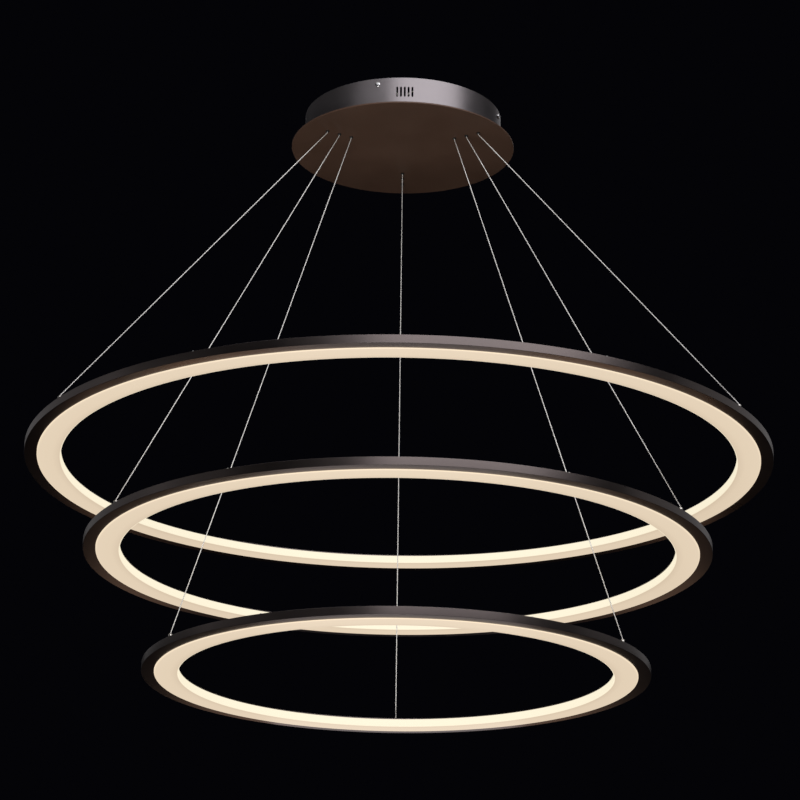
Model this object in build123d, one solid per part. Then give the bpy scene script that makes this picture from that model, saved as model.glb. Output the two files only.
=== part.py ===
from build123d import *
from math import asin, cos, pi, radians, sin, sqrt
import os

# A ring chandelier: three lit rings, each hung level on three bright steel wires under a
# shallow round ceiling canopy. Millimetres, +Z up. The origin is the centre of the face
# that lies against the ceiling, and everything hangs below it. The near side is -Y.

# ---- rings ----
large_ring_radius = 600.0
middle_ring_radius = 500.0
small_ring_radius = 400.0
large_ring_drop = 620.0    # ceiling to the ring's underside
middle_ring_drop = 769.0
small_ring_drop = 963.0

section_width = 58.0       # outer wall to inner edge
section_height = 12.5
wall_thickness = 1.6       # outer wall of the aluminium section
flange_thickness = 1.5     # top flange, over the light guide
lip_thickness = 1.6        # dark rim under the section
rim_width = 20.0
guide_gap = 0.2            # between the rim and the light guide

board_length = 140.0       # flat light-emitting boards, end to end along the wall
board_height = 6.0
board_thickness = 1.0
board_joint = 1.0          # least gap between two boards
board_clearance = 0.15     # board corners to the wall

# ---- suspension ----
wire_angles = (90.0, 210.0, 330.0)
wire_radius = 0.7
large_hole_circle = 144.0  # where the wires of each ring leave the canopy plate
middle_hole_circle = 121.5
small_hole_circle = 99.0

anchor_inset = 6.0         # wire end to the ring's outer edge
anchor_radius = 3.5
anchor_height = 6.0
neck_side = 3.0            # square neck that keeps the anchor from turning
neck_clearance = 0.1
nut_side = 7.0
nut_thickness = 2.0
wire_seat_gap = 0.1        # wire end to the anchor's top

grip_radius = 5.5
grip_height = 22.0
chamber_radius = 4.2
cage_room = 4.5            # spring and ball cage, above the collar when it is pushed up
grip_bore_radius = 0.95
wire_tail = 8.0            # wire that stands above its grip

tip_radius = 2.9           # release tip that is pushed up to free the wire
tip_bore_radius = 1.2
tip_length = 2.2           # proud of the plate
tip_travel = 1.8
collar_radius = 3.8
collar_height = 1.5
collar_gap = 0.2           # collar to the plate
bend_gap = 0.6             # wire's bend below the tip

# ---- canopy ----
canopy_height = 55.0
plate_radius = 186.0
plate_thickness = 2.5
plate_hole_radius = 3.2
drum_radius = 164.0
drum_wall = 1.2
tab_width = 14.0           # tabs turned in at the drum's foot and welded to the plate
tab_depth = 9.0
tab_angles = (30.0, 120.0, 210.0, 300.0)

slot_count = 5             # vent slots, in one group on the near side
slot_width = 3.2
slot_length = 18.0
slot_pitch = 6.2
slot_drop = 25.0           # ceiling to the slots' middle
slot_group_angle = 270.8

bracket_angle = 75.3       # first arm of the ceiling bracket
bracket_width = 24.0
bracket_thickness = 2.0
ear_height = 20.0
ear_gap = 0.3              # ear corners to the drum
entry_radius = 11.0        # cable entry in the bracket's middle
ceiling_circle = 110.0     # radius of the circle of ceiling screws
ceiling_hole_radius = 2.75

screw_drop = 10.6          # ceiling to the drum screws
screw_head_radius = 4.0
screw_head_height = 2.4
screw_radius = 2.0
screw_length = 8.0
screw_clearance = 0.25
screw_seat_gap = 0.08      # flat head to the curved wall

driver_length = 126.0
driver_width = 40.0
driver_height = 22.0
driver_circle = 95.0       # radius of the drivers' middles
driver_angles = {"large": 270.0, "middle": 30.0, "small": 150.0}
lug_length = 10.0
lug_width = 16.0
lug_thickness = 1.5

block_length = 36.0
block_width = 18.0
block_height = 14.0
block_circle = 52.0        # radius of the terminal block's middle, on the first arm

lead_radius = 1.1
lead_rise = 10.5           # output leads above the plate
lead_start = 9.0           # straight out of the driver
mains_lead_pitch = 9.0
lead_floor_gap = 0.3       # mains leads to the plate that they lie on
lead_end_gap = 0.2

cutter_margin = 1.0        # how far a cutting shape runs past what it cuts

# ---- worked out ----
plate_underside = -canopy_height
plate_top = plate_underside + plate_thickness
tip_end = plate_underside - tip_length
wire_bend = tip_end - bend_gap
grip_top = plate_top + grip_height
chamber_height = collar_gap + collar_height + tip_travel + cage_room
drum_inside = drum_radius - drum_wall
near = 270.0

ring_radius = {"large": large_ring_radius, "middle": middle_ring_radius, "small": small_ring_radius}
ring_underside = {"large": -large_ring_drop, "middle": -middle_ring_drop, "small": -small_ring_drop}
hole_circle = {"large": large_hole_circle, "middle": middle_hole_circle, "small": small_hole_circle}


def turned(outline):
    """A section given as (radius, z) corners, turned about the vertical axis."""
    return revolve(make_face(Polyline(*[(r, 0, z) for r, z in outline], close=True)), Axis.Z)


def around(angle, radius, z):
    """The place at an angle and radius from the axis, with X pointing outwards."""
    return Rot(0, 0, angle) * Pos(radius, 0, z)


def prism(sides, radius, low, high):
    """An upright prism on the axis, which small repeated round pieces are made of."""
    return extrude(Pos(0, 0, low) * RegularPolygon(radius, sides), high - low)


def box_between(x, y, z):
    """A box from its low and high ends along each axis."""
    middle = Pos((x[0] + x[1]) / 2, (y[0] + y[1]) / 2, (z[0] + z[1]) / 2)
    return middle * Box(x[1] - x[0], y[1] - y[0], z[1] - z[0])


def tube(points, radius, sides=8):
    """A lead or wire along straight runs, mitred where they meet."""
    path = Polyline(*points)
    start = Plane(path @ 0, z_dir=path % 0)
    return sweep(start * RegularPolygon(radius, sides), path, transition=Transition.RIGHT)


# ---- the rings ----
def ring_frame(radius, underside):
    """The aluminium section: outer wall, top flange and the lip that shows as the dark rim."""
    top = underside + section_height
    inner = radius - section_width
    flange_underside = top - flange_thickness
    lip_top = underside + lip_thickness
    lip_end = radius - rim_width
    wall_inside = radius - wall_thickness
    frame = turned([
        (radius, underside), (radius, top), (inner, top), (inner, flange_underside),
        (wall_inside, flange_underside), (wall_inside, lip_top), (lip_end, lip_top), (lip_end, underside),
    ])
    side = neck_side + 2 * neck_clearance
    hole = Box(side, side, flange_thickness + 2 * cutter_margin)
    for angle in wire_angles:
        frame -= around(angle, radius - anchor_inset, top - flange_thickness / 2) * hole
    return frame


def light_guide(radius, underside):
    """The opal ring that fills the section from the rim to its inner edge, bonded under the flange."""
    outer = radius - rim_width - guide_gap
    inner = radius - section_width
    guide_top = underside + section_height - flange_thickness
    return turned([(outer, underside), (outer, guide_top), (inner, guide_top), (inner, underside)])


def led_boards(radius, underside):
    """Flat boards on edge on the lip, their corners against the outer wall, shining inwards."""
    reach = radius - wall_thickness - board_clearance
    half_turn = asin(board_length / 2 / reach)
    count = int(pi / asin((board_length + board_joint) / 2 / reach))
    distance = reach * cos(half_turn) - board_thickness / 2
    middle = underside + lip_thickness + board_height / 2
    board = Box(board_thickness, board_length, board_height)
    return [around(360 / count * i, distance, middle) * board for i in range(count)]


def wire_anchors(radius, underside):
    """Round anchors on the flange, each with a square neck down through it."""
    top = underside + section_height
    neck_end = top - flange_thickness - nut_thickness - neck_clearance
    neck = box_between((-neck_side / 2, neck_side / 2), (-neck_side / 2, neck_side / 2), (neck_end, top))
    anchor = prism(12, anchor_radius, top, top + anchor_height) + neck
    return [around(angle, radius - anchor_inset, 0) * anchor for angle in wire_angles]


def anchor_nuts(radius, underside):
    """Square nuts on the anchors' necks, up against the flange from inside."""
    seat = underside + section_height - flange_thickness
    side = neck_side + neck_clearance
    nut = Box(nut_side, nut_side, nut_thickness) - Box(side, side, nut_thickness + 2 * cutter_margin)
    nut = Pos(0, 0, seat - nut_thickness / 2) * nut
    return [around(angle, radius - anchor_inset, 0) * nut for angle in wire_angles]


def ring_wires(radius, underside, circle):
    """Three wires: straight up through plate and grip, and slanting down to the anchors."""
    anchor_top = underside + section_height + anchor_height
    end = anchor_top + wire_seat_gap + wire_radius
    wire = tube([
        (circle, 0, grip_top + wire_tail), (circle, 0, wire_bend), (radius - anchor_inset, 0, end),
    ], wire_radius)
    return [Rot(0, 0, angle) * wire for angle in wire_angles]


# ---- the canopy ----
def canopy_plate():
    """The round plate that shows from below, with a hole for each wire."""
    plate = Pos(0, 0, (plate_top + plate_underside) / 2) * Cylinder(plate_radius, plate_thickness)
    hole = prism(12, plate_hole_radius, plate_underside - cutter_margin, plate_top + cutter_margin)
    for circle in hole_circle.values():
        for angle in wire_angles:
            plate -= around(angle, circle, 0) * hole
    return plate


def slot_cutter():
    """An upright slot whose round ends are drawn with cut corners, to go through the drum."""
    x, z = slot_width / 2, slot_length / 2
    cut = slot_width * (1 - sqrt(0.5))
    outline = Polyline((x, cut - z), (x, z - cut), (x - cut, z), (cut - x, z),
                       (-x, z - cut), (-x, cut - z), (cut - x, -z), (x - cut, -z), close=True)
    return extrude(Plane.YZ * make_face(outline), drum_wall / 2 + cutter_margin, both=True)


def screw_hole(depth):
    """A clearance hole for a drum screw, level, through a wall of this depth at the origin."""
    reach = depth / 2 + cutter_margin
    return Rot(0, 90, 0) * prism(8, screw_radius + screw_clearance, -reach, reach)


def canopy_drum():
    """The round wall between ceiling and plate, with vent slots, screw holes and welding tabs."""
    drum = turned([(drum_radius, plate_top), (drum_radius, 0), (drum_inside, 0), (drum_inside, plate_top)])
    for angle in tab_angles:
        drum += Rot(0, 0, angle) * box_between(
            (drum_radius - drum_wall - tab_depth, drum_radius - drum_wall / 2),
            (-tab_width / 2, tab_width / 2), (plate_top, plate_top + drum_wall))
    cutter = slot_cutter()
    pitch_angle = slot_pitch / drum_radius * 180 / pi
    for i in range(slot_count):
        turn = slot_group_angle + (i - (slot_count - 1) / 2) * pitch_angle
        drum -= around(turn, drum_radius - drum_wall / 2, -slot_drop) * cutter
    for i in range(4):
        drum -= around(bracket_angle + 90 * i, drum_radius - drum_wall / 2, -screw_drop) * screw_hole(drum_wall)
    return drum


def ear_face():
    """How far from the axis the outer faces of the bracket's ears stand, inside the curved wall."""
    return sqrt(drum_inside ** 2 - (bracket_width / 2) ** 2) - ear_gap


def ceiling_bracket():
    """A flat cross with four ears turned down, which take the drum's screws."""
    bracket = None
    face = ear_face()
    half = bracket_width / 2
    for i in range(4):
        arm = box_between((0, face), (-half, half), (-bracket_thickness, 0))
        arm += box_between((face - bracket_thickness, face), (-half, half), (-ear_height, 0))
        arm = Rot(0, 0, bracket_angle + 90 * i) * arm
        bracket = arm if bracket is None else bracket + arm
    through = 2 * (bracket_thickness + cutter_margin)
    bracket -= Cylinder(entry_radius, through)
    for i in range(4):
        turn = bracket_angle + 90 * i
        bracket -= around(turn, ceiling_circle, 0) * Cylinder(ceiling_hole_radius, through)
        bracket -= around(turn, face - bracket_thickness / 2, -screw_drop) * screw_hole(bracket_thickness)
    return bracket


def drum_screws():
    """Pan-headed screws through the drum into the bracket's ears."""
    head = prism(8, screw_head_radius, 0, screw_head_height)
    shank = prism(8, screw_radius, -screw_length, 0)
    screw = Rot(0, 90, 0) * (head + shank)
    seat = drum_radius + screw_seat_gap
    return [around(bracket_angle + 90 * i, seat, -screw_drop) * screw for i in range(4)]


def wire_grips():
    """Self-locking grips on the plate: each has a chamber for the tip's collar and a bore for the wire."""
    grip = prism(8, grip_radius, plate_top, grip_top)
    grip -= prism(8, chamber_radius, plate_top - cutter_margin, plate_top + chamber_height)
    grip -= prism(8, grip_bore_radius, plate_top, grip_top + cutter_margin)
    return [around(angle, circle, 0) * grip for circle in hole_circle.values() for angle in wire_angles]


def release_tip():
    """The hollow tip under each grip. Its collar keeps it in, and its end stands proud of the plate."""
    seat = plate_top + collar_gap
    top = seat + collar_height
    tip = prism(8, tip_radius, tip_end, seat) + prism(8, collar_radius, seat, top)
    return tip - prism(8, tip_bore_radius, tip_end - cutter_margin, top + cutter_margin)


def driver():
    """A driver brick on the near side, lying across the radius, with a fixing lug at each end."""
    low, high = plate_top, plate_top + driver_height
    brick = box_between((-driver_length / 2, driver_length / 2),
                        (-driver_circle - driver_width / 2, -driver_circle + driver_width / 2), (low, high))
    reach = driver_length / 2 + lug_length
    brick += box_between((-reach, reach), (-driver_circle - lug_width / 2, -driver_circle + lug_width / 2),
                         (low, low + lug_thickness))
    return brick


def output_leads(circle):
    """Two leads from the ends of a near-side driver to the grips at its left and right."""
    height = plate_top + lead_rise
    leads = []
    for side in (-1, 1):
        start = (side * driver_length / 2, -driver_circle, height)
        turn = (side * (driver_length / 2 + lead_start), -driver_circle, height)
        grip = (side * circle * cos(radians(30)), -circle * sin(radians(30)))
        run = sqrt((grip[0] - turn[0]) ** 2 + (grip[1] - turn[1]) ** 2)
        share = 1 - (grip_radius + lead_end_gap) / run
        end = (turn[0] + (grip[0] - turn[0]) * share, turn[1] + (grip[1] - turn[1]) * share, height)
        leads.append(tube([start, turn, end], lead_radius))
    return leads


def terminal_block():
    """The mains terminal block, hung under the bracket's first arm."""
    return around(bracket_angle, block_circle, -bracket_thickness - block_height / 2) * Box(
        block_width, block_length, block_height)


def mains_leads():
    """One lead from the block to the inner side of each driver."""
    leads = []
    block_bottom = -bracket_thickness - block_height
    entry = driver_circle - driver_width / 2
    height = plate_top + lead_radius + lead_floor_gap
    for i, angle in enumerate(driver_angles.values()):
        start = (around(bracket_angle, block_circle, block_bottom) * Pos(0, (i - 1) * mains_lead_pitch, 0)).position
        below = (start.X, start.Y, height)
        out = (cos(radians(angle)), sin(radians(angle)))
        before = (out[0] * (entry - lead_start), out[1] * (entry - lead_start), height)
        end = (out[0] * entry, out[1] * entry, height)
        leads.append(tube([tuple(start), below, before, end], lead_radius))
    return leads


# ---- written out ----
os.makedirs("parts", exist_ok=True)


def write(name, shape):
    """One file for each named piece, or for a group of like pieces."""
    solids = shape if isinstance(shape, list) else [shape]
    export_step(Compound(children=[s for shape in solids for s in shape.solids()]), f"parts/{name}.step")


for size in ring_radius:
    radius, underside, circle = ring_radius[size], ring_underside[size], hole_circle[size]
    write(f"{size}_ring_frame", ring_frame(radius, underside))
    write(f"{size}_light_guide", light_guide(radius, underside))
    write(f"{size}_led_boards", led_boards(radius, underside))
    write(f"{size}_wire_anchors", wire_anchors(radius, underside))
    write(f"{size}_anchor_nuts", anchor_nuts(radius, underside))
    write(f"{size}_wires", ring_wires(radius, underside, circle))
    for number, angle in enumerate(wire_angles, 1):
        write(f"{size}_release_tip_{number}", around(angle, circle, 0) * release_tip())
    turn = driver_angles[size] - near
    write(f"{size}_ring_driver", Rot(0, 0, turn) * driver())
    write(f"{size}_output_leads", [Rot(0, 0, turn) * lead for lead in output_leads(circle)])

write("canopy_plate", canopy_plate())
write("canopy_drum", canopy_drum())
write("ceiling_bracket", ceiling_bracket())
write("drum_screws", drum_screws())
write("wire_grips", wire_grips())
write("terminal_block", terminal_block())
write("mains_leads", mains_leads())
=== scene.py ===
import math
import bpy
import bmesh
from mathutils import Matrix, Vector


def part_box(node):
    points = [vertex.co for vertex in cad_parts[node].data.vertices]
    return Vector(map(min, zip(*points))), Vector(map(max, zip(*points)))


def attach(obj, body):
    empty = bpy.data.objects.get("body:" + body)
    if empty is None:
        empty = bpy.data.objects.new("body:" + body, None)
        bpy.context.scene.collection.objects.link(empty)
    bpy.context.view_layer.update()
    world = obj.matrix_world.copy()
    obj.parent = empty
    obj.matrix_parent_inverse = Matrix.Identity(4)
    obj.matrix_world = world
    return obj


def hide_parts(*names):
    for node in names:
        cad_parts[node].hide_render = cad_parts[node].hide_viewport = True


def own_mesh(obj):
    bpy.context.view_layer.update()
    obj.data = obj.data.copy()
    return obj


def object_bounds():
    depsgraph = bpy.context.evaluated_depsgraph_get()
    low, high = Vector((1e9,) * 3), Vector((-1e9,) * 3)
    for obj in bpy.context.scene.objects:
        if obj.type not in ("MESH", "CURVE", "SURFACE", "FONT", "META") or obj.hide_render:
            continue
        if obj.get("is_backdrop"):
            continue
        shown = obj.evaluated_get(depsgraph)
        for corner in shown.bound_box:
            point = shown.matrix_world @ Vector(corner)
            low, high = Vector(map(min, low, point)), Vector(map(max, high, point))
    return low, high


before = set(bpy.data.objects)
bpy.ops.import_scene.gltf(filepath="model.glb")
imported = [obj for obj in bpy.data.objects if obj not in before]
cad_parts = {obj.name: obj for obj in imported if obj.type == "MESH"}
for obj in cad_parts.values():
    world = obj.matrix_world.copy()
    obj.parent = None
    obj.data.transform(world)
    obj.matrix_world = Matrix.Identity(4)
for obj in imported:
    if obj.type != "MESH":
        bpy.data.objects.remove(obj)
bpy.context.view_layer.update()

# Three lit rings on bright wires under a round canopy. Sizes in the dictionaries are millimetres.
mm = 0.001
ringNames = ("large", "middle", "small")
wireAngles = (90, 210, 330)    # where each ring's three wires stand, seen from above
sideways = Matrix.Rotation(math.radians(90), 4, "Y")    # lays an upright rod along x
weldGap = 0.0005               # points closer than this are one
past = 1.0                     # how far a cutting shape runs past what it cuts
scene = bpy.context.scene


def spun(outline, steps, closed=True):
    # a (radius, height) outline turned once round the upright axis
    bm = bmesh.new()
    points = [bm.verts.new((r * mm, 0, z * mm)) for r, z in outline]
    ends = points[1:] + points[:1] if closed else points[1:]
    lines = [bm.edges.new(pair) for pair in zip(points, ends)]
    bmesh.ops.spin(bm, geom=points + lines, cent=(0, 0, 0), axis=(0, 0, 1), angle=2 * math.pi,
                   steps=steps, use_merge=True)
    bmesh.ops.remove_doubles(bm, verts=bm.verts, dist=weldGap * mm)
    bmesh.ops.recalc_face_normals(bm, faces=bm.faces)
    return bm


def softened(bm, width, sharpest=30):
    # rounds every edge that is sharper than an angle
    edges = [e for e in bm.edges if e.calc_face_angle(0) > math.radians(sharpest)]
    bmesh.ops.bevel(bm, geom=edges, offset=width * mm, segments=2, profile=0.5, affect="EDGES",
                    material=-1, clamp_overlap=True)
    return bm


def block(low, high, corner=0):
    # a box between two corners, with its edges rounded
    bm = bmesh.new()
    bmesh.ops.create_cube(bm, size=1)
    size = [(b - a) * mm for a, b in zip(low, high)]
    middle = [(a + b) / 2 * mm for a, b in zip(low, high)]
    bmesh.ops.scale(bm, vec=size, verts=bm.verts)
    bmesh.ops.translate(bm, vec=middle, verts=bm.verts)
    return softened(bm, corner) if corner else bm


def rod(radius, low, high, sides=24):
    # an upright rod between two heights
    bm = bmesh.new()
    bmesh.ops.create_cone(bm, cap_ends=True, segments=sides, radius1=radius * mm,
                          radius2=radius * mm, depth=(high - low) * mm)
    bmesh.ops.translate(bm, vec=(0, 0, (low + high) / 2 * mm), verts=bm.verts)
    return bm


def joined(whole, part, places=(Matrix.Identity(4),)):
    # adds a copy of a part to a shape at each place
    for place in places:
        copy = part.copy()
        bmesh.ops.transform(copy, matrix=place, verts=copy.verts)
        holder = bpy.data.meshes.new("holder")
        copy.to_mesh(holder)
        copy.free()
        whole.from_mesh(holder)
        bpy.data.meshes.remove(holder)
    return whole


def looseObject(name, bm):
    # an object of its own, made from a shape that is then let go
    mesh = bpy.data.meshes.new(name)
    bm.to_mesh(mesh)
    bm.free()
    thing = bpy.data.objects.new(name, mesh)
    scene.collection.objects.link(thing)
    return thing


def carved(bm, cutter):
    # takes one closed shape out of another
    body, tool = looseObject("carvedBody", bm), looseObject("carvingTool", cutter)
    modifier = body.modifiers.new("carve", "BOOLEAN")
    modifier.operation = "DIFFERENCE"
    modifier.solver = "EXACT"
    modifier.object = tool
    mesh = bpy.data.meshes.new_from_object(body.evaluated_get(bpy.context.evaluated_depsgraph_get()))
    result = bmesh.new()
    result.from_mesh(mesh)
    for thing in (body, tool):
        data = thing.data
        bpy.data.objects.remove(thing)
        bpy.data.meshes.remove(data)
    bpy.data.meshes.remove(mesh)
    return result


def around(angle, radius=0, height=0):
    # the place at an angle and radius from the axis, with x pointing outwards
    out = Matrix.Translation((radius * mm, 0, height * mm))
    return Matrix.Rotation(math.radians(angle), 4, "Z") @ out


def shifted(x, y, z):
    # the place at these millimetres from the origin
    return Matrix.Translation(Vector((x, y, z)) * mm)


def addPiece(name, bm, material, body, stoodFor=(), crease=35):
    # a finished piece that moves with its body and stands for CAD nodes
    piece = looseObject(name, bm)
    piece.data.materials.append(material)
    piece.data.shade_smooth()
    piece.data.set_sharp_from_angle(angle=math.radians(crease))
    weighted = piece.modifiers.new("evenFaces", "WEIGHTED_NORMAL")
    weighted.keep_sharp = True
    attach(piece, body)
    if stoodFor:
        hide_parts(*stoodFor)
    return piece


finishes = {
    # dark and light tone, metal, roughness from and to, size of clouds and grain per metre, relief in mm
    "bronze": {"dark": (0.135, 0.114, 0.110), "light": (0.155, 0.132, 0.128), "metal": 1.0,
               "rough": (0.27, 0.33), "clouds": 9, "grain": 900, "relief": 0.002},
    "plateLacquer": {"dark": (0.088, 0.047, 0.030), "light": (0.100, 0.054, 0.035), "metal": 0.1,
                     "rough": (0.42, 0.52), "clouds": 14, "grain": 900, "relief": 0.003},
    "drumLacquer": {"dark": (0.258, 0.238, 0.247), "light": (0.282, 0.261, 0.270), "metal": 1.0,
                    "rough": (0.36, 0.42), "clouds": 12, "grain": 900, "relief": 0.002},
    "wireSteel": {"dark": (0.86, 0.85, 0.82), "light": (0.94, 0.93, 0.90), "metal": 0.1,
                  "rough": (0.34, 0.44), "clouds": 200, "grain": 3000, "relief": 0.002},
    "chrome": {"dark": (0.74, 0.75, 0.76), "light": (0.84, 0.84, 0.85), "metal": 1.0,
               "rough": (0.10, 0.20), "clouds": 120, "grain": 2600, "relief": 0.003},
    "zinc": {"dark": (0.50, 0.51, 0.52), "light": (0.68, 0.69, 0.70), "metal": 0.9,
             "rough": (0.32, 0.48), "clouds": 60, "grain": 1800, "relief": 0.008},
    "nickel": {"dark": (0.58, 0.56, 0.52), "light": (0.72, 0.70, 0.66), "metal": 1.0,
               "rough": (0.20, 0.30), "clouds": 90, "grain": 2400, "relief": 0.004},
    "blackNylon": {"dark": (0.012, 0.012, 0.012), "light": (0.022, 0.021, 0.020), "metal": 0.0,
                   "rough": (0.45, 0.58), "clouds": 80, "grain": 2200, "relief": 0.012},
    "whitePlastic": {"dark": (0.70, 0.70, 0.68), "light": (0.80, 0.80, 0.77), "metal": 0.0,
                     "rough": (0.38, 0.48), "clouds": 50, "grain": 1600, "relief": 0.012},
    "leadSleeve": {"dark": (0.66, 0.64, 0.58), "light": (0.78, 0.76, 0.70), "metal": 0.0,
                   "rough": (0.42, 0.55), "clouds": 90, "grain": 1900, "relief": 0.010},
    "boardWhite": {"dark": (0.72, 0.72, 0.69), "light": (0.82, 0.82, 0.79), "metal": 0.0,
                   "rough": (0.35, 0.45), "clouds": 70, "grain": 1500, "relief": 0.006},
}


cloudSpan = (0.3, 0.7)         # where the noise has its darkest and its lightest tone


def shaderNodes(name):
    # a new material with its shader and a place to read Object coordinates from
    material = bpy.data.materials.new(name)
    material.use_nodes = True
    nodes = material.node_tree.nodes
    shader = next(n for n in nodes if n.type == "BSDF_PRINCIPLED")
    place = nodes.new("ShaderNodeTexCoord")
    return material, nodes, material.node_tree.links, shader, place


def tones(nodes, links, source, stops):
    # a colour ramp over a value from 0 to 1
    ramp = nodes.new("ShaderNodeValToRGB")
    bands = ramp.color_ramp.elements
    for stop in stops[2:]:
        bands.new(stop[0])
    for band, (position, colour) in zip(sorted(bands, key=lambda b: b.position), sorted(stops)):
        band.position = position
        band.color = (*colour, 1)
    links.new(source, ramp.inputs["Fac"])
    return ramp.outputs["Color"]


def noise(nodes, links, place, scale, detail):
    # a value from 0 to 1 that wanders over the piece
    texture = nodes.new("ShaderNodeTexNoise")
    texture.inputs["Scale"].default_value = scale
    texture.inputs["Detail"].default_value = detail
    links.new(place.outputs["Object"], texture.inputs["Vector"])
    return texture.outputs["Fac"]


def surface(nodes, links, shader, place, recipe):
    # roughness that varies with the clouds, and a fine relief
    clouds = noise(nodes, links, place, recipe["clouds"], 4)
    spread = nodes.new("ShaderNodeMapRange")
    spread.inputs["From Min"].default_value, spread.inputs["From Max"].default_value = cloudSpan
    spread.inputs["To Min"].default_value, spread.inputs["To Max"].default_value = recipe["rough"]
    links.new(clouds, spread.inputs["Value"])
    links.new(spread.outputs["Result"], shader.inputs["Roughness"])
    bump = nodes.new("ShaderNodeBump")
    bump.inputs["Strength"].default_value = 0.5
    bump.inputs["Distance"].default_value = recipe["relief"] * mm
    links.new(noise(nodes, links, place, recipe["grain"], 2), bump.inputs["Height"])
    links.new(bump.outputs["Normal"], shader.inputs["Normal"])
    return clouds


def finish(name):
    # the material that a recipe above describes
    recipe = finishes[name]
    material, nodes, links, shader, place = shaderNodes(name)
    clouds = surface(nodes, links, shader, place, recipe)
    colour = tones(nodes, links, clouds, list(zip(cloudSpan, (recipe["dark"], recipe["light"]))))
    links.new(colour, shader.inputs["Base Color"])
    shader.inputs["Metallic"].default_value = recipe["metal"]
    return material


opal = {
    # the lit colour from the inner edge to the rim: a bright line at each edge, duller between
    "stops": [(0.0, (1.0, 0.91, 0.69)), (1.0, (1.04, 0.85, 0.62)), (0.028, (1.0, 0.87, 0.65)),
              (0.05, (0.70, 0.56, 0.405)), (0.12, (0.73, 0.59, 0.43)), (0.35, (0.78, 0.635, 0.465)),
              (0.93, (0.79, 0.645, 0.475)), (0.985, (0.90, 0.735, 0.54))],
    "unlit": (0.16, 0.15, 0.135), "glow": 0.915, "rough": 0.32, "shine": 0.12,
}


def opalFinish(name, inner, outer):
    # lit from the boards in the wall, so the light changes with the distance from the ring's middle
    material, nodes, links, shader, place = shaderNodes(name)
    flat = nodes.new("ShaderNodeVectorMath")
    flat.operation = "MULTIPLY"
    flat.inputs[1].default_value = (1, 1, 0)
    links.new(place.outputs["Object"], flat.inputs[0])
    distance = nodes.new("ShaderNodeVectorMath")
    distance.operation = "LENGTH"
    links.new(flat.outputs["Vector"], distance.inputs[0])
    across = nodes.new("ShaderNodeMapRange")
    across.inputs["From Min"].default_value = inner * mm
    across.inputs["From Max"].default_value = outer * mm
    links.new(distance.outputs["Value"], across.inputs["Value"])
    lit = tones(nodes, links, across.outputs["Result"], opal["stops"])
    links.new(lit, shader.inputs["Emission Color"])
    shader.inputs["Emission Strength"].default_value = opal["glow"]
    shader.inputs["Base Color"].default_value = (*opal["unlit"], 1)
    shader.inputs["Roughness"].default_value = opal["rough"]
    shader.inputs["Specular IOR Level"].default_value = opal["shine"]
    return material


bronze, plateLacquer, drumLacquer = finish("bronze"), finish("plateLacquer"), finish("drumLacquer")
wireSteel, chrome, zinc, nickel = finish("wireSteel"), finish("chrome"), finish("zinc"), finish("nickel")
blackNylon, whitePlastic = finish("blackNylon"), finish("whitePlastic")
leadSleeve, boardWhite = finish("leadSleeve"), finish("boardWhite")
print("finishes made")


ring = {"steps": 288, "wall": 1.6, "flange": 1.5, "lip": 1.6, "rim": 20.0, "edge": 0.35,
        "width": 58.0, "guideProud": 1.6, "guideEdge": 1.1, "sharp": 60}
radii, tops = {}, {}


def makeSection(radius, low, top):
    # the outer wall, the flange on top and the rim underneath, all in one extrusion
    inner, under = radius - ring["width"], top - ring["flange"]
    section = spun([
        (radius, low), (radius, top), (inner, top), (inner, under),
        (radius - ring["wall"], under), (radius - ring["wall"], low + ring["lip"]),
        (radius - ring["rim"], low + ring["lip"]), (radius - ring["rim"], low),
    ], ring["steps"])
    return softened(section, ring["edge"])


def makeGuide(inner, outer, base, under):
    # the opal ring, rounded along the two edges that show
    guide = spun([(outer, base), (outer, under), (inner, under), (inner, base)], ring["steps"])
    edges = [e for e in guide.edges if e.verts[0].co.z < (base + ring["guideEdge"]) * mm
             and e.calc_face_angle(0) > math.radians(ring["sharp"])]
    bmesh.ops.bevel(guide, geom=edges, offset=ring["guideEdge"] * mm, segments=3, profile=0.5,
                    affect="EDGES", material=-1)
    return guide


for name in ringNames:
    low, high = [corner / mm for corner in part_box(name + "_ring_frame")]
    radii[name], tops[name] = round(high.x, 2), high.z
    inner, outer = radii[name] - ring["width"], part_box(name + "_light_guide")[1].x / mm
    addPiece(name + "_ring_section", makeSection(radii[name], low.z, high.z), bronze, name + "_ring",
             [name + "_ring_frame"])
    guide = makeGuide(inner, outer, low.z - ring["guideProud"], high.z - ring["flange"])
    addPiece(name + "_opal_guide", guide, opalFinish(name + "Opal", inner, outer), name + "_ring",
             [name + "_light_guide"])
    for node, material in (("_led_boards", boardWhite), ("_anchor_nuts", zinc)):
        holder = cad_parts[name + node]
        holder.data.materials.clear()
        holder.data.materials.append(material)
print("rings made")


anchor = {"inset": 6.0, "height": 6.0, "neck": 3.0, "neckLength": 3.6,
          "profile": [(0, 0), (3.4, 0), (3.4, 1.2), (2.9, 1.5), (2.9, 1.9), (3.4, 2.2), (3.4, 4.4),
                      (2.9, 5.2), (1.8, 5.8), (0.9, 6.0), (0, 6.0)]}
wire = {"radius": 0.75, "valley": 0.72, "strands": 6, "lay": 12.0, "stepsPerTurn": 8, "seat": 0.5,
        "bend": -57.8, "crease": 80}
holeCircles = {"large": 144.0, "middle": 121.5, "small": 99.0}


def turnedAnchor():
    # a domed stud with a groove, and the square neck that goes through the flange
    half = anchor["neck"] / 2
    neck = block((-half, -half, -anchor["neckLength"]), (half, half, 0))
    return joined(spun(anchor["profile"], 32, closed=False), neck)


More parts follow.
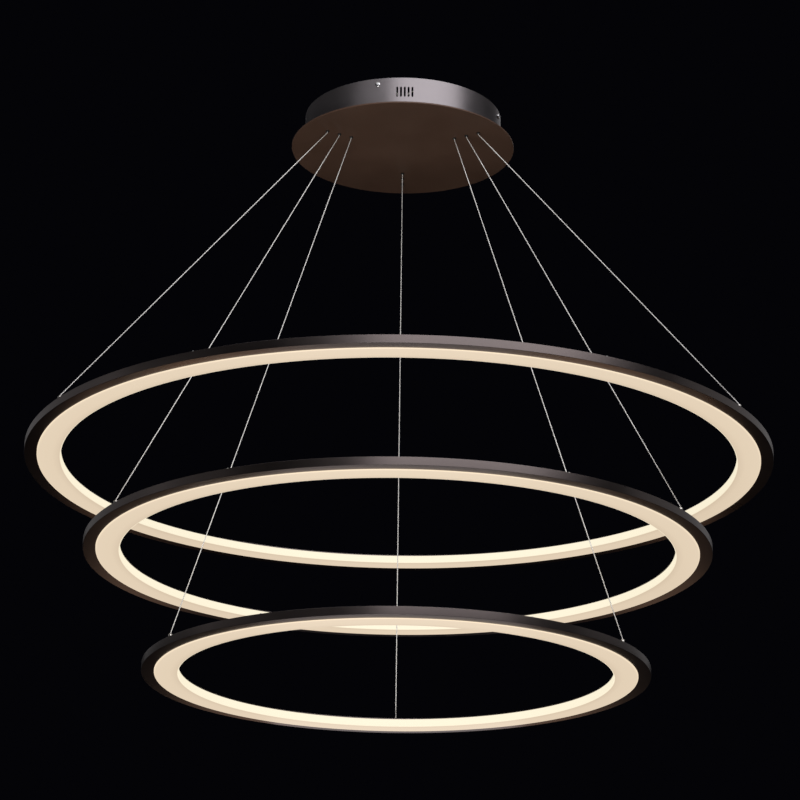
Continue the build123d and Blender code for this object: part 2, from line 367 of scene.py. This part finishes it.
def strandedWire(start, end):
    # a lobed section that is turned as it runs, like a laid wire
    run = end - start
    length = run.length / mm
    steps = round(length / wire["lay"] * wire["stepsPerTurn"])
    bm = bmesh.new()
    bmesh.ops.create_circle(bm, segments=2 * wire["strands"], radius=wire["radius"] * mm)
    for i, vert in enumerate(bm.verts[:]):
        if i % 2:
            vert.co *= wire["valley"] / wire["radius"]
    bmesh.ops.spin(bm, geom=bm.verts[:] + bm.edges[:], cent=(0, 0, 0), axis=(0, 0, 1),
                   dvec=(0, 0, run.length / steps), angle=2 * math.pi * length / wire["lay"], steps=steps)
    bmesh.ops.holes_fill(bm, edges=[e for e in bm.edges if e.is_boundary], sides=0)
    bmesh.ops.recalc_face_normals(bm, faces=bm.faces)
    turn = run.to_track_quat("Z", "X").to_matrix().to_4x4()
    bmesh.ops.transform(bm, matrix=Matrix.Translation(start) @ turn, verts=bm.verts)
    return bm


panHead = {
    # shares of the head's radius and height: its outline, then its cross recess
    "profile": [(0, 0), (1, 0), (1, 0.35), (0.93, 0.68), (0.72, 0.92), (0.4, 1), (0, 1)],
    "arm": 0.5, "slot": 0.11, "depths": (0.45, 0.40), "above": (1.2, 1.25),
}
screw = {"radius": 2.2, "height": 1.7, "inset": 4.4, "angles": (0, 60, 120, 180, 240, 300)}


def roundScrew(radius, height):
    # a pan head with a cross recess, cut one arm after the other
    head = spun([(radius * r, height * z) for r, z in panHead["profile"]], 28, closed=False)
    sides = (radius * panHead["arm"], radius * panHead["slot"])
    for (x, y), low, high in zip((sides, sides[::-1]), panHead["depths"], panHead["above"]):
        head = carved(head, block((-x, -y, height * low), (x, y, height * high)))
    return head


flangeScrew = roundScrew(screw["radius"], screw["height"])
for name in ringNames:
    radius, top, circle, lift = radii[name], tops[name], holeCircles[name], name + "_ring_height"
    out, places = radius - anchor["inset"], [around(a) for a in wireAngles]
    studs = joined(bmesh.new(), turnedAnchor(), [around(a, out, top) for a in wireAngles])
    addPiece(name + "_wire_studs", studs, nickel, name + "_ring",
             [name + "_wire_anchors"])
    # each wire runs straight from its bend below the canopy to its stud, with a tail up in its grip
    seatHeight = top + anchor["height"] + wire["seat"]
    bend, gripped = Vector((circle, 0, wire["bend"])) * mm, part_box(name + "_wires")[1].z
    slanted = strandedWire(bend, Vector((out, 0, seatHeight)) * mm)
    upright = strandedWire(bend, Vector((circle * mm, 0, gripped)))
    hanging = addPiece(name + "_wire_strands", joined(bmesh.new(), slanted, places), wireSteel,
                       "canopy", [name + "_wires"], crease=wire["crease"])
    addPiece(name + "_wire_tails", joined(bmesh.new(), upright, places), wireSteel, "canopy",
             crease=wire["crease"])
    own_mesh(hanging)
    heads = joined(bmesh.new(), flangeScrew, [around(a, radius - screw["inset"], top)
                                              for a in screw["angles"]])
    addPiece(name + "_flange_screws", heads, zinc, name + "_ring")
print("wires made")


canopy = {"height": 55.0, "plateRadius": 186.0, "plateThick": 2.5, "edge": 0.5, "hole": 3.2,
          "drumRadius": 164.0, "wall": 1.2, "drumEdge": 0.25, "steps": 224, "screwDrop": 10.6,
          "screwHole": 2.25, "bracketAngle": 75.3}
tab = {"width": 14.0, "depth": 9.0, "edge": 0.3, "angles": (30, 120, 210, 300)}
vents = {"count": 5, "width": 3.2, "length": 18.0, "pitch": 6.2, "drop": 25.0, "angle": 270.8,
         "cut": 4.0, "capCut": 3.9, "capShare": 0.998}
screwAngles = [canopy["bracketAngle"] + 90 * i for i in range(4)]
plateTop = canopy["plateThick"] - canopy["height"]


def makePlate():
    # the round plate underneath, drilled for the nine tips
    r, low = canopy["plateRadius"], -canopy["height"]
    outline = [(0, low), (r, low), (r, plateTop), (0, plateTop)]
    disc = softened(spun(outline, canopy["steps"], closed=False), canopy["edge"])
    drills = bmesh.new()
    drill = rod(canopy["hole"], low - past, plateTop + past, 32)
    joined(drills, drill, [around(a, circle) for circle in holeCircles.values() for a in wireAngles])
    return carved(disc, drills)


def makeDrum():
    # the upright wall with its vents, its screw holes and the tabs that are welded to the plate
    r, wall, cut = canopy["drumRadius"], canopy["wall"], vents["cut"]
    drum = spun([(r, plateTop), (r, 0), (r - wall, 0), (r - wall, plateTop)], canopy["steps"])
    softened(drum, canopy["drumEdge"])
    # a vent is a square opening, then a round end above and below it
    half, reach = vents["width"] / 2, (vents["length"] - vents["width"]) / 2
    openings, ends = bmesh.new(), bmesh.new()
    for i in range(vents["count"]):
        turn = (i - (vents["count"] - 1) / 2) * math.degrees(vents["pitch"] / r)
        place = around(vents["angle"] + turn, r, -vents["drop"])
        joined(openings, block((-cut, -half, -reach), (cut, half, reach)), [place])
        joined(ends, rod(half * vents["capShare"], -vents["capCut"], vents["capCut"]),
               [place @ shifted(0, 0, z) @ sideways for z in (-reach, reach)])
    holes = joined(bmesh.new(), rod(canopy["screwHole"], -cut, cut),
                   [around(a, r, -canopy["screwDrop"]) @ sideways for a in screwAngles])
    for cutter in (openings, ends, holes):
        drum = carved(drum, cutter)
    half = tab["width"] / 2
    foot = block((r - wall - tab["depth"], -half, plateTop), (r - wall / 2, half, plateTop + wall),
                 tab["edge"])
    return joined(drum, foot, [around(a) for a in tab["angles"]])


addPiece("canopy_disc", makePlate(), plateLacquer, "canopy", ["canopy_plate"])
addPiece("canopy_wall", makeDrum(), drumLacquer, "canopy", ["canopy_drum"])
print("canopy made")


bracket = {"width": 24.0, "thick": 2.0, "ear": 20.0, "entry": 11.0, "circle": 110.0, "hole": 2.75,
           "bend": 2.0, "earGap": 0.3, "edge": 0.25, "overlap": 0.02, "cut": 6.0, "earCut": 5.0}
drumInside = canopy["drumRadius"] - canopy["wall"]
bracketFace = math.sqrt(drumInside ** 2 - (bracket["width"] / 2) ** 2) - bracket["earGap"]


def makeBracket():
    # a cross of two strips with ears turned down at their ends
    half, thick, ear = bracket["width"] / 2, bracket["thick"], bracket["ear"]
    bm = bmesh.new()
    # a strip's outline, seen from the side and pulled out to its width
    corners = [(-bracketFace, -ear), (-bracketFace, 0), (bracketFace, 0), (bracketFace, -ear),
               (bracketFace - thick, -ear), (bracketFace - thick, -thick), (thick - bracketFace, -thick),
               (thick - bracketFace, -ear)]
    face = bm.faces.new([bm.verts.new((x * mm, -half * mm, z * mm)) for x, z in corners])
    pulled = bmesh.ops.extrude_face_region(bm, geom=[face])
    moved = [v for v in pulled["geom"] if isinstance(v, bmesh.types.BMVert)]
    bmesh.ops.translate(bm, vec=(0, 2 * half * mm, 0), verts=moved)
    bmesh.ops.recalc_face_normals(bm, faces=bm.faces)
    bends = [e for e in bm.edges if min(v.co.z for v in e.verts) > -thick / 2 * mm
             and abs(e.verts[0].co.y - e.verts[1].co.y) > half * mm]
    bmesh.ops.bevel(bm, geom=bends, offset=bracket["bend"] * mm, segments=4, profile=0.5,
                    affect="EDGES", material=-1)
    strip = softened(bm, bracket["edge"], sharpest=50)
    cutters = rod(bracket["entry"], -bracket["cut"], bracket["cut"], 48)
    joined(cutters, rod(bracket["hole"], -bracket["cut"], bracket["cut"], 28),
           [around(a, bracket["circle"]) for a in screwAngles])
    joined(cutters, rod(canopy["screwHole"], -bracket["earCut"], bracket["earCut"]),
           [around(a, bracketFace, -canopy["screwDrop"]) @ sideways for a in screwAngles])
    cross = bmesh.new()
    for angle, sunk in zip(screwAngles, (0, bracket["overlap"])):
        arm = joined(bmesh.new(), strip, [around(angle, 0, -sunk)])
        joined(cross, carved(arm, cutters.copy()))
    return cross


drumScrew = {"head": 4.0, "height": 2.4, "crest": 2.0, "root": 1.7, "tip": 1.6, "length": 8.0,
             "point": 0.6, "rise": 0.35, "ridges": 19, "seat": 0.08}


def makeDrumScrews():
    # four pan heads on threaded shanks, through the drum into the bracket's ears
    crest, root, first = drumScrew["crest"], drumScrew["root"], drumScrew["point"] - drumScrew["length"]
    shank = [(0, -drumScrew["length"]), (drumScrew["tip"], -drumScrew["length"]), (crest, first)]
    shank += [(crest if i % 2 else root, first + drumScrew["rise"] * i)
              for i in range(1, drumScrew["ridges"] + 1)]
    one = joined(roundScrew(drumScrew["head"], drumScrew["height"]),
                 spun(shank + [(crest, 0), (0, 0)], 20, closed=False))
    out = canopy["drumRadius"] + drumScrew["seat"]
    return joined(bmesh.new(), one, [around(a, out, -canopy["screwDrop"]) @ sideways
                                     for a in screwAngles])


addPiece("bracket_cross", makeBracket(), zinc, "canopy", ["ceiling_bracket"])
addPiece("canopy_screws", makeDrumScrews(), chrome, "canopy", ["drum_screws"])
print("bracket made")


grip = {"barrel": 4.5, "chamber": 4.2, "foot": 5.5, "flats": 5.0, "footGap": 0.05, "sides": 32,
        "below": [(4.2, 0.2), (4.9, 0.2), (4.9, 6.0), (4.5, 6.4), (4.5, 7.4)],
        "ribs": 9, "ribFoot": 8.0, "ribPitch": 0.5, "ribRadii": (5.25, 4.9),
        "above": [(4.5, 12.6), (4.5, 14.0), (3.4, 15.2), (3.4, 18.0), (2.2, 22.0), (0.95, 22.0),
                  (0.95, 9.0), (4.2, 8.0)]}
tip = {"radius": 2.9, "bore": 1.2, "length": 2.2, "mouth": 0.25, "mouthDepth": 0.3, "chamfer": 0.6,
       "collar": 3.8, "collarHeight": 1.5, "collarFoot": 0.2, "collarEdge": 0.3, "gap": 0.2}


def makeGrip():
    # hexagon foot, barrel with a ribbed band, and a cone that holds the wire
    ribs = [(grip["ribRadii"][i % 2], grip["ribFoot"] + grip["ribPitch"] * i)
            for i in range(grip["ribs"])]
    barrel = spun(grip["below"] + ribs + grip["above"], grip["sides"])
    inside, out, flats = grip["chamber"], grip["foot"], grip["flats"]
    foot = spun([(inside, 0), (out, 0), (out, flats), (inside, flats)], 6)
    opening = rod(inside + grip["footGap"], -past, flats + past, grip["sides"])
    return joined(barrel, carved(foot, opening))


def makeTip():
    # a hollow button with a collar that the plate keeps in its grip
    low, seat = -canopy["height"] - tip["length"], plateTop + tip["gap"]
    top = seat + tip["collarHeight"]
    r, b, c, slope = tip["radius"], tip["bore"], tip["collar"], tip["chamfer"]
    foot, edge = tip["collarFoot"], tip["collarEdge"]
    return spun([(b + tip["mouth"], low), (r - slope, low), (r, low + slope), (r, seat),
                 (c - foot, seat), (c, seat + foot), (c, top - edge), (c - edge, top), (b, top),
                 (b, low + tip["mouthDepth"])], grip["sides"])


grips = joined(bmesh.new(), makeGrip(), [around(a, circle, plateTop) for circle in holeCircles.values()
                                         for a in wireAngles])
addPiece("grip_bodies", grips, nickel, "canopy", ["wire_grips"])
for name in ringNames:
    for number, angle in enumerate(wireAngles, 1):
        mouth = joined(bmesh.new(), makeTip(), [around(angle, holeCircles[name])])
        addPiece(f"{name}_release_mouth_{number}", mouth, blackNylon, f"{name}_release_{number}",
                 [f"{name}_release_tip_{number}"])
print("grips made")


driver = {"length": 126.0, "width": 40.0, "height": 22.0, "circle": 95.0, "body": 20.8, "edge": 1.6,
          "middle": {"inset": 1.0, "sunk": 0.6, "edge": 0.8}, "step": 3.0,
          "lid": {"length": 18.0, "inset": 0.6, "edge": 0.9},
          "rib": {"count": 9, "start": 8.0, "half": 1.0, "inset": 5.0, "height": 1.0, "edge": 0.4},
          "lug": {"length": 10.0, "width": 16.0, "thick": 1.5, "under": 1.0, "edge": 0.4},
          "slot": {"out": 6.0, "radius": 2.0, "above": 3.0},
          "lidScrew": (1.9, 1.1), "lugScrew": (2.9, 1.8)}
driverAngles = {"large": 270, "middle": 30, "small": 150}


def makeDriver():
    # a moulded brick on the near side: ribbed middle, lids over the terminals, and slotted lugs
    long, deep, y = driver["length"] / 2, driver["width"] / 2, -driver["circle"]
    low, high, step = plateTop, plateTop + driver["height"], driver["step"]
    middle, lid, rib, lug, slot = [driver[part] for part in ("middle", "lid", "rib", "lug", "slot")]
    half = long - lid["length"]
    brick = block((-long, y - deep, low), (long, y + deep, low + driver["body"]), driver["edge"])
    inset = deep - middle["inset"]
    joined(brick, block((-half, y - inset, high - step), (half, y + inset, high - middle["sunk"]),
                        middle["edge"]))
    inset = deep - lid["inset"]
    for side in (-1, 1):
        ends = sorted((side * (half + lid["inset"]), side * (long - lid["inset"])))
        joined(brick, block((ends[0], y - inset, high - step), (ends[1], y + inset, high), lid["edge"]))
    first, inset = half - rib["start"], deep - rib["inset"]
    for i in range(rib["count"]):
        x = -first + i * 2 * first / (rib["count"] - 1)
        joined(brick, block((x - rib["half"], y - inset, high - rib["height"]),
                            (x + rib["half"], y + inset, high), rib["edge"]))
    lugs = bmesh.new()
    for side in (-1, 1):
        ends = sorted((side * (long - lug["under"]), side * (long + lug["length"])))
        joined(lugs, block((ends[0], y - lug["width"] / 2, low),
                           (ends[1], y + lug["width"] / 2, low + lug["thick"]), lug["edge"]))
    slots = joined(bmesh.new(), rod(slot["radius"], low - past, low + slot["above"], 20),
                   [shifted(side * (long + slot["out"]), y, 0) for side in (-1, 1)])
    return joined(brick, carved(lugs, slots))


def makeDriverScrews():
    # one on each lid and one in each lug
    long, y, lid, lug = driver["length"] / 2, -driver["circle"], driver["lid"], driver["lug"]
    screws = joined(bmesh.new(), roundScrew(*driver["lidScrew"]),
                    [shifted(side * (long - lid["length"] / 2), y, plateTop + driver["height"])
                     for side in (-1, 1)])
    return joined(screws, roundScrew(*driver["lugScrew"]),
                  [shifted(side * (long + driver["slot"]["out"]), y, plateTop + lug["thick"])
                   for side in (-1, 1)])


def roundLead(points, radius):
    # a smooth lead through straight runs, closed at both ends
    data = bpy.data.curves.new("route", "CURVE")
    data.dimensions = "3D"
    data.bevel_depth = radius * mm
    data.bevel_resolution = 4
    data.use_fill_caps = True
    spline = data.splines.new("NURBS")
    spline.points.add(len(points) - 1)
    for point, place in zip(spline.points, points):
        point.co = (*(Vector(place) * mm), 1)
    spline.order_u = 3
    spline.use_endpoint_u = True
    spline.resolution_u = 8
    route = bpy.data.objects.new("route", data)
    scene.collection.objects.link(route)
    mesh = bpy.data.meshes.new_from_object(route)
    bm = bmesh.new()
    bm.from_mesh(mesh)
    bmesh.ops.remove_doubles(bm, verts=bm.verts, dist=2 * weldGap * mm)
    bmesh.ops.recalc_face_normals(bm, faces=bm.faces)
    bpy.data.objects.remove(route)
    bpy.data.curves.remove(data)
    bpy.data.meshes.remove(mesh)
    return bm


lead = {"radius": 1.1, "rise": 10.5, "straight": 9.0, "floorGap": 0.3, "bowStart": 6.0,
        "gland": [(1.1, 0), (2.6, 0), (2.3, 2.2), (1.6, 4.0), (1.1, 4.0)]}
# one lead of the large ring's pair is bowed along the near wall, where the vents show it
ventBow = [(74, -98, -40), (62, -137, -24), (34, -148, -15), (14.7, -151, -18), (8.5, -151, -22),
           (1, -151.5, -36), (-8, -151, -27), (-13, -151, -19), (-34, -148, -18), (-66, -131, -30),
           (-96, -102, -41)]


def outputLeads(circle, bow):
    # from each end of the driver to the grip on that side
    height, gland = plateTop + lead["rise"], spun(lead["gland"], 20)
    pair = bmesh.new()
    for side in (-1, 1):
        start = Vector((side * driver["length"] / 2, -driver["circle"], height))
        route = [start, start + Vector((side * lead["straight"], 0, 0))]
        if bow and side == -1:
            start = Vector((driver["length"] / 2, -driver["circle"] - lead["bowStart"], height))
            route = [start] + [Vector(p) for p in bow]
        hole = around(wireAngles[2 if side > 0 else 1], circle, height).to_translation() / mm
        run = hole - route[-1]
        route.append(route[-1] + run * (1 - grip["barrel"] / run.length))
        joined(pair, roundLead(route, lead["radius"]))
        facing = Matrix.Rotation(math.radians(90 if bow else 90 * side), 4, "Y")
        joined(pair, gland, [shifted(*start) @ facing])
    return pair


for name in ringNames:
    # all three are made on the near side and turned to their places
    turned = around(driverAngles[name] - driverAngles["large"])
    addPiece(name + "_driver_case", joined(bmesh.new(), makeDriver(), [turned]), whitePlastic,
             "canopy", [name + "_ring_driver"])
    addPiece(name + "_driver_screws", joined(bmesh.new(), makeDriverScrews(), [turned]), zinc,
             "canopy")
    leads = outputLeads(holeCircles[name], ventBow if name == "large" else [])
    addPiece(name + "_lead_pair", joined(bmesh.new(), leads, [turned]), leadSleeve, "canopy",
             [name + "_output_leads"])


terminal = {"length": 36.0, "width": 18.0, "height": 14.0, "circle": 52.0, "ways": (-9.0, 0.0, 9.0),
            "base": 5.0, "edge": 0.6,
            "tower": {"inset": 0.8, "half": 3.6, "foot": 0.2, "top": 4.0, "edge": 0.8},
            "hole": {"radius": 2.2, "out": 4.5, "depth": 3.0}}
terminalLow = -bracket["thick"] - terminal["height"]


def makeTerminalBlock():
    # three ways side by side, each with two screw towers, hung under the bracket's first arm
    long, wide, top = terminal["length"] / 2, terminal["width"] / 2, -bracket["thick"]
    tower, hole = terminal["tower"], terminal["hole"]
    base = block((-wide, -long, top - terminal["base"]), (wide, long, top), terminal["edge"])
    x, half = wide - tower["inset"], tower["half"]
    for y in terminal["ways"]:
        joined(base, block((-x, y - half, terminalLow + tower["foot"]),
                           (x, y + half, top - tower["top"]), tower["edge"]))
    drills = joined(bmesh.new(), rod(hole["radius"], terminalLow - past, terminalLow + hole["depth"], 20),
                    [shifted(x, y, 0) for y in terminal["ways"] for x in (-hole["out"], hole["out"])])
    return joined(bmesh.new(), carved(base, drills), [around(canopy["bracketAngle"], terminal["circle"])])


def mainsLeads():
    # from the terminals down to the plate, along it, and straight into each driver
    height = plateTop + lead["radius"] + lead["floorGap"]
    entry = driver["circle"] - driver["width"] / 2
    row = around(canopy["bracketAngle"], terminal["circle"], terminalLow)
    wiring = bmesh.new()
    for y, angle in zip(terminal["ways"], driverAngles.values()):
        start = row @ Vector((0, y * mm, 0)) / mm
        out = Vector((math.cos(math.radians(angle)), math.sin(math.radians(angle)), 0))
        below = Vector((start.x, start.y, height))
        before = out * (entry - lead["straight"]) + Vector((0, 0, height))
        end = out * entry + Vector((0, 0, height))
        joined(wiring, roundLead([start, below, before, end], lead["radius"]))
    return wiring


addPiece("terminal_strip", makeTerminalBlock(), whitePlastic, "canopy",
         ["terminal_block"])
addPiece("mains_wiring", mainsLeads(), leadSleeve, "canopy", ["mains_leads"])
print("drivers and leads made")


photoView = {"place": (0.0022, -4.3282, -1.9878), "pitch": 18.98, "yaw": -0.02, "roll": 0.716,
             "lens": 126.6, "sensor": 36, "clip": (0.05, 200)}


def makeCamera():
    data = bpy.data.cameras.new("photoCamera")
    data.lens, data.sensor_width = photoView["lens"], photoView["sensor"]
    data.clip_start, data.clip_end = photoView["clip"]
    camera = bpy.data.objects.new("photoCamera", data)
    scene.collection.objects.link(camera)
    camera.matrix_world = (Matrix.Translation(photoView["place"])
                           @ Matrix.Rotation(math.radians(-photoView["yaw"]), 4, "Z")
                           @ Matrix.Rotation(math.radians(90 + photoView["pitch"]), 4, "X")
                           @ Matrix.Rotation(math.radians(photoView["roll"]), 4, "Z"))
    scene.camera = camera


lights = {
    # in metres: a panel on the left of the front, strips at the sides, cards behind and below that
    # the rings' rims mirror (one pair for the large ring, a dim pair for the others), a bank behind,
    # a fill below and one above
    "leftPanel": {"place": (-2.3, -2.8, 2.6), "aim": (0, 0, 0), "size": (2.4, 1.6), "glow": 0.9,
                  "tint": (1.0, 0.975, 1.0)},
    "leftFront": {"place": (-3.5, -1.0, 0.15), "aim": (0, -0.3, -0.6), "size": (2.4, 0.9), "glow": 0.17,
                  "tint": (1, 0.97, 0.96)},
    "leftStrip": {"place": (-3.1, 1.65, 0.5), "aim": (0, 0, -0.5), "size": (4.6, 1.1), "glow": 0.20,
                  "tint": (1, 0.99, 1.0)},
    "rightStrip": {"place": (3.1, 1.65, 0.42), "aim": (0, 0, -0.5), "size": (4.6, 1.1), "glow": 0.26,
                   "tint": (1, 0.99, 1.0)},
    "rimCentre": {"place": (0, 0.72, -1.18), "aim": (0, -0.45, -0.73), "size": (0.46, 0.46), "glow": 0.50,
                  "tint": (1, 0.90, 0.89)},
    "rimLeft": {"place": (-0.385, 0.72, -0.99), "aim": (-0.2, -0.45, -0.62), "size": (0.48, 0.14),
                "glow": 0.84, "tint": (1, 0.59, 0.37), "roll": 39, "onto": ["large"]},
    "rimRight": {"place": (0.385, 0.72, -0.99), "aim": (0.2, -0.45, -0.62), "size": (0.48, 0.14),
                 "glow": 0.84, "tint": (1, 0.59, 0.37), "roll": -39, "onto": ["large"]},
    "lowLeft": {"place": (-0.385, 0.72, -0.99), "aim": (-0.2, -0.45, -0.62), "size": (0.48, 0.14),
                "glow": 0.28, "tint": (1, 0.62, 0.42), "roll": 39, "onto": ["middle", "small"]},
    "lowRight": {"place": (0.385, 0.72, -0.99), "aim": (0.2, -0.45, -0.62), "size": (0.48, 0.14),
                 "glow": 0.28, "tint": (1, 0.62, 0.42), "roll": -39, "onto": ["middle", "small"]},
    "backBank": {"place": (0.8, 3.9, 1.9), "aim": (0, 0, -0.2), "size": (3.6, 1.6), "glow": 0.35,
                 "tint": (1, 0.98, 1.0)},
    "lowFill": {"place": (-0.6, -3.3, -3.3), "aim": (0, 0, -0.5), "size": (1.8, 1.8), "glow": 10.5,
                "tint": (1, 0.97, 0.95)},
    "overhead": {"place": (0, 0.6, 3.4), "aim": (0, 0, 0), "size": (5.0, 5.0), "glow": 0.8,
                 "tint": (1, 0.98, 0.96)},
}
# a bank high on the right of the front, in rows that are shorter on the right towards its foot:
# low, high, left and right of each row, from the bank's middle
frontBank = {"place": (1.54, -3.02, 1.72), "aim": (0, 0, 0), "glow": 2.05, "tint": (1.0, 0.975, 1.0),
             "rows": [(-0.45, 1.7, -2.8, 2.95), (-1.05, -0.45, -2.75, 2.5), (-1.45, -1.05, -2.8, 1.75),
                      (-1.7, -1.45, -2.8, 1.4)]}
plateSpot = {"place": (-0.5, -2.5, -2.1), "aim": (-0.04, -0.16, -0.055), "cone": 11, "power": 60,
             "size": 0.12, "tint": (1, 0.97, 0.94)}


def hung(name, data, spec, shift=(0, 0, 0)):
    # a lamp that faces its aim, turned by its roll and moved along its own sides
    data.color = spec["tint"]
    facing = (Vector(spec["aim"]) - Vector(spec["place"])).to_track_quat("-Z", "Y").to_matrix()
    lamp = bpy.data.objects.new(name, data)
    lamp.location = Vector(spec["place"]) + facing @ Vector(shift)
    lamp.rotation_euler = (facing @ Matrix.Rotation(math.radians(spec.get("roll", 0)), 3, "Z")).to_euler()
    lamp.visible_camera = False
    scene.collection.objects.link(lamp)
    if "onto" in spec:
        # a card that only these rings mirror
        mirrors = bpy.data.collections.new(name + "Mirrors")
        for ringName in spec["onto"]:
            mirrors.objects.link(bpy.data.objects[ringName + "_ring_section"])
        lamp.light_linking.receiver_collection = mirrors


def panel(name, size, glow):
    # a flat lamp whose glow doesn't change with its size
    data = bpy.data.lights.new(name, "AREA")
    data.shape = "RECTANGLE"
    data.size, data.size_y = size
    data.energy = glow * math.pi * size[0] * size[1]
    return data


def makeLights():
    for name, spec in lights.items():
        hung(name, panel(name, spec["size"], spec["glow"]), spec)
    for low, high, left, right in frontBank["rows"]:
        data = panel("frontBank", (right - left, high - low), frontBank["glow"])
        hung("frontBank", data, frontBank, ((left + right) / 2, (low + high) / 2, 0))
    data = bpy.data.lights.new("plateSpot", "SPOT")
    data.energy = plateSpot["power"]
    data.spot_size = math.radians(plateSpot["cone"])
    data.spot_blend = 1
    data.shadow_soft_size = plateSpot["size"]
    hung("plateSpot", data, plateSpot)


floor = {"radius": 10, "height": -8.1, "dark": (0.70, 0.69, 0.67), "light": (0.74, 0.73, 0.71),
         "rough": 0.9, "clouds": 0.6}


def makeFloor():
    bm = bmesh.new()
    bmesh.ops.create_circle(bm, cap_ends=True, segments=96, radius=floor["radius"])
    bmesh.ops.translate(bm, vec=(0, 0, floor["height"]), verts=bm.verts)
    ground = looseObject("floor", bm)
    material, nodes, links, shader, place = shaderNodes("paleFloor")
    colour = tones(nodes, links, noise(nodes, links, place, floor["clouds"], 3),
                   list(zip(cloudSpan, (floor["dark"], floor["light"]))))
    links.new(colour, shader.inputs["Base Color"])
    shader.inputs["Roughness"].default_value = floor["rough"]
    ground.data.materials.append(material)
    ground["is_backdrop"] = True


makeCamera()
makeLights()
makeFloor()
world = bpy.data.worlds.new("studio")
scene.world = world
world.use_nodes = True
world.node_tree.nodes["Background"].inputs["Color"].default_value = (0.0012, 0.0012, 0.0020, 1)
scene.view_settings.view_transform = "Standard"
print("camera, light and floor made")

low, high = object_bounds()
